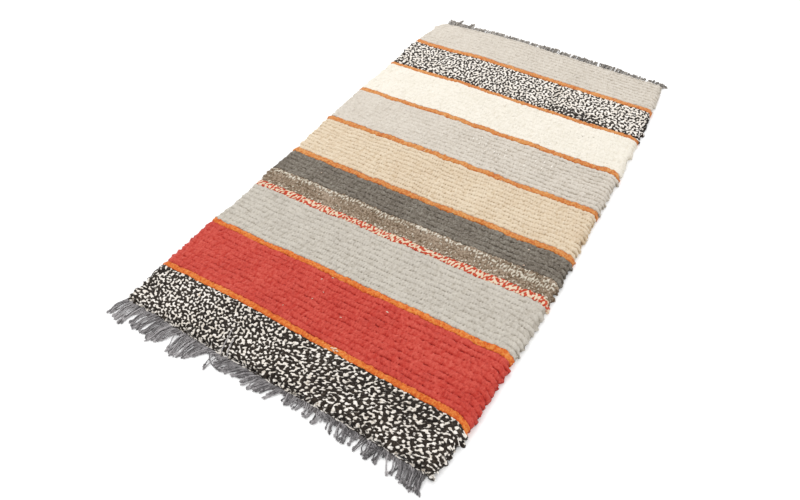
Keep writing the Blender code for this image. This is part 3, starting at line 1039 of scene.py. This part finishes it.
# Far fringe
# The same at the far end, in darker yarn, in shorter tufts that lie closer together.
FAR_RINGS = 14
FAR_LOCKS = (
    (20, -425, -384, -428, -394, 58, 52, 0.5),
    (7, -396, -380, -394, -384, 68, 74, 0.5),
    (14, -384, -350, -386, -358, 50, 42, 0.5),
    (8, -350, -330, -346, -339, 62, 68, 0.5),
    (24, -322, -264, -326, -270, 40, 45, 0.5),
    (12, -256, -228, -258, -234, 41, 44, 0.5),
    (10, -222, -200, -226, -206, 40, 47, 0.5),
    (62, -202, -48, -206, -54, 42, 38, 0.5),
    (4, -46, -36, -45, -41, 38, 42, 0.5),
    (16, -36, 0, -38, -10, 46, 46, 0.5),
    (9, -4, 22, 0, 18, 53, 48, 1.1),
    (4, 26, 36, 31, 36, 42, 40, 0.5),
    (11, 40, 66, 40, 62, 42, 40, 0.5),
    (16, 70, 110, 70, 107, 45, 42, 0.5),
    (8, 108, 130, 112, 124, 46, 44, 0.5),
    (26, 130, 196, 130, 192, 41, 45, 0.5),
    (27, 194, 262, 195, 260, 48, 45, 0.5),
    (14, 262, 298, 264, 296, 41, 34, 0.5),
    (13, 298, 330, 298, 328, 36, 40, 0.5),
    (16, 330, 374, 332, 374, 34, 35, 0.5),
    (16, 370, 406, 372, 414, 40, 34, 0.4),
)
FAR_LOOSE = (
    (400, 408, 16, 420, 30),
    (404, 412, 14, 426, 26),
    (406, 414, 12, 429, 22),
    (-352, -352, 24, -348, 40),
)
fringe_far = add_fringe(
    "fringe_far_strands", "fringe_far", FAR_LOCKS, FAR_LOOSE,
    end=1, rings=FAR_RINGS, seed=43,
    material=plied_yarn("dark_fringe_yarn", "aaa39b", "5e5851"),
)

# Loose bits
# Two paler yarn ends that were left lying over the pile at the near end, and short pale, ivory or
# brown slubs of wool caught among the knots.
STRAY_RADIUS = 1.3 * MM
STRAY_RINGS = 40
SLUB_RINGS = 9
SLUB_SINK = 0.4 * MM

# Places that each stray end passes, from the floor up over the foot of the pile.
STRAY_ENDS = np.array([
    (
        (-132, -809, 2), (-131, -802, 5), (-130, -798.5, 12),
        (-130.5, -793, 19.5), (-132, -785, 22.2), (-136, -773, 22.2),
        (-140, -757, 22.2), (-146, -742, 21.4),
    ),
    (
        (-108, -809, 2), (-110, -802, 5), (-112, -798.5, 12),
        (-114, -793, 19.5), (-117, -785, 22.2), (-120, -776, 22.2),
        (-123, -768, 22.2), (-125, -760, 21.4),
    ),
])

# Columns: x, y, length and thickness in millimetres, direction in degrees.
PALE_SLUBS = (
    (-40, -493, 6, 2.6, 20), (131, -513, 7, 3.0, -10), (-44, -572, 4, 2.0, 60),
    (-33, -542, 4, 1.8, 0), (46, -583, 6, 1.8, 15), (-61, -510, 5, 2.6, 40),
    (-92, -624, 4, 1.6, 70), (334, -152, 8, 2.6, 75), (345, -209, 6, 2.8, 30),
    (-302, -180, 4, 1.8, 10), (79, -664, 8, 3.4, 15), (86, -662, 9, 3.8, 40),
    (-283, -705, 8, 3.2, 15), (-100, 64, 6, 1.8, 5), (55, 263, 5, 2.0, 30),
    (300, 264, 5, 2.0, 50), (93, -665, 8, 3.2, 5), (86, -668, 7, 3.0, -20),
)
IVORY_SLUBS = (
    (-1, 196, 10, 3.8, 95), (11, 197, 8, 3.5, 88), (22, 212, 8, 3.8, 100),
    (26, 182, 9, 3.5, 92), (45, 190, 8, 2.9, 105), (57, 158, 7, 2.9, 90),
    (83, 168, 10, 3.2, 85), (99, 163, 11, 2.9, 92), (110, 194, 9, 3.8, 80),
    (119, 166, 9, 2.9, 95), (167, 205, 8, 3.8, 60), (185, 156, 9, 3.5, 75),
    (207, 192, 9, 3.8, 90), (216, 172, 9, 2.9, 95), (231, 200, 9, 3.2, 80),
    (234, 170, 10, 3.2, 88), (257, 194, 10, 4.2, 92), (43, 206, 7, 2.9, 85),
)
BROWN_SLUBS = (
    (242, 383, 6, 1.3, 10), (262, 384, 5, 1.2, 60), (281, 381, 6, 1.4, -20),
    (299, 386, 5, 1.2, 35), (312, 394, 6, 1.3, 0), (-65, 730, 5, 1.4, 10),
    (28, 752, 5, 1.3, 60), (135, 700, 6, 1.2, 5), (216, 735, 5, 1.2, 20),
    (-52, -402, 4, 1.3, 30), (52, -395, 5, 1.4, 80), (176, -428, 4, 1.2, 0),
)


def stray_lines(stations):
    """Smooth centrelines through their stations."""
    places = np.linspace(0, 1, stations.shape[1])
    t = np.linspace(0, 1, STRAY_RINGS)
    return np.stack([smooth(t, places, line * MM) for line in stations])


def slub_lines(slubs):
    """Straight centrelines on top of the pile and radii that swell in the middle like a spindle."""
    x, y, length, thickness, degrees = np.array(slubs).T[:, :, None]
    t = np.linspace(-0.5, 0.5, SLUB_RINGS)
    z = PILE_HEIGHT + SLUB_SINK * np.cos(math.pi * t) * np.ones_like(x)
    turn = np.radians(degrees)
    x = (x + t * length * np.cos(turn)) * MM
    y = (y + t * length * np.sin(turn)) * MM
    centre = np.stack([x, y, z], axis=-1)
    return centre, 0.5 * thickness * MM * (0.25 + 0.75 * np.cos(math.pi * t) ** 0.7)


def add_loose(name, lines, material):
    """Make loose yarns as one piece of the pile, from their centrelines and radii."""
    points, faces, ply = yarns(*lines)
    # The value `shade` here is only painted shade where the two plies meet.
    piece = add_piece(name, points, faces, material, {"shade": ply})
    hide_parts("rug_body")
    return piece


stray_centre = stray_lines(STRAY_ENDS)
stray_radius = np.full(stray_centre.shape[:2], STRAY_RADIUS)
pale_grey = plied_yarn("pale_grey_yarn", "b9b4b3", "7d7877")
pale_wool = plied_yarn("pale_wool", "e2d2bd", "c9ab97")
ivory_wool = plied_yarn("ivory_wool", "f2ede5", "ddd6cb")
brown_wool = plied_yarn("brown_wool", "9c9384", "7d7263")
loose_pieces = [
    add_loose("stray_ends", (stray_centre, stray_radius), pale_grey),
    add_loose("pale_slubs", slub_lines(PALE_SLUBS), pale_wool),
    add_loose("ivory_slubs", slub_lines(IVORY_SLUBS), ivory_wool),
    add_loose("brown_slubs", slub_lines(BROWN_SLUBS), brown_wool),
]

# Studio
# A white floor under a wide, even light, as in a light tent, with a softer lamp from the far left.
FLOOR_SIZE = 14.0
LAMP_PLACE = (-1.9, 1.8, 3.0)
LAMP_SIZE = 3.0
LAMP_POWER = 60
TENT_LIGHT = 1.15


def add_floor():
    """A flat white sheet, much larger than the rug."""
    half = FLOOR_SIZE / 2
    corners = [(-half, -half, 0), (half, -half, 0), (half, half, 0), (-half, half, 0)]
    mesh = bpy.data.meshes.new("floor")
    mesh.from_pydata(corners, [], [(0, 1, 2, 3)])
    paper = bpy.data.materials.new("white_paper")
    paper.use_nodes = True
    shader = paper.node_tree.nodes["Principled BSDF"]
    shader.inputs["Base Color"].default_value = (0.93, 0.93, 0.93, 1)
    shader.inputs["Roughness"].default_value = 0.9
    shader.inputs["Specular IOR Level"].default_value = 0.1
    mesh.materials.append(paper)
    floor = bpy.data.objects.new("floor", mesh)
    bpy.context.scene.collection.objects.link(floor)


def add_lamp(name):
    """A square soft lamp that faces the middle of the rug."""
    light = bpy.data.lights.new(name, "AREA")
    light.size = LAMP_SIZE
    light.energy = LAMP_POWER
    lamp = bpy.data.objects.new(name, light)
    lamp.location = LAMP_PLACE
    x, y, z = LAMP_PLACE
    lamp.rotation_euler = (math.acos(z / math.hypot(x, y, z)), 0, math.atan2(x, -y))
    bpy.context.scene.collection.objects.link(lamp)


add_floor()
add_lamp("overhead_left")
world = bpy.data.worlds.new("tent")
world.use_nodes = True
world.node_tree.nodes["Background"].inputs["Color"].default_value = (1, 1, 1, 1)
world.node_tree.nodes["Background"].inputs["Strength"].default_value = TENT_LIGHT
bpy.context.scene.world = world
bpy.context.scene.view_settings.view_transform = "Standard"

# The photograph's viewpoint: where the camera stands, how far it looks down and to the left, how
# far it is rolled, and its lens on a 36 mm wide sensor.
CAMERA_PLACE = (0.6429, -1.3018, 1.224)
CAMERA_DOWN = 46.53
CAMERA_LEFT = 31.18
CAMERA_ROLL = 0.154
CAMERA_LENS = 29.07
camera_data = bpy.data.cameras.new("camera")
camera_data.lens = CAMERA_LENS
camera_data.sensor_width = 36
camera = bpy.data.objects.new("camera", camera_data)
camera.matrix_world = (
    Matrix.Translation(CAMERA_PLACE)
    @ Matrix.Rotation(math.radians(CAMERA_LEFT), 4, "Z")
    @ Matrix.Rotation(math.radians(90 - CAMERA_DOWN), 4, "X")
    @ Matrix.Rotation(math.radians(CAMERA_ROLL), 4, "Z")
)
bpy.context.scene.collection.objects.link(camera)
bpy.context.scene.camera = camera
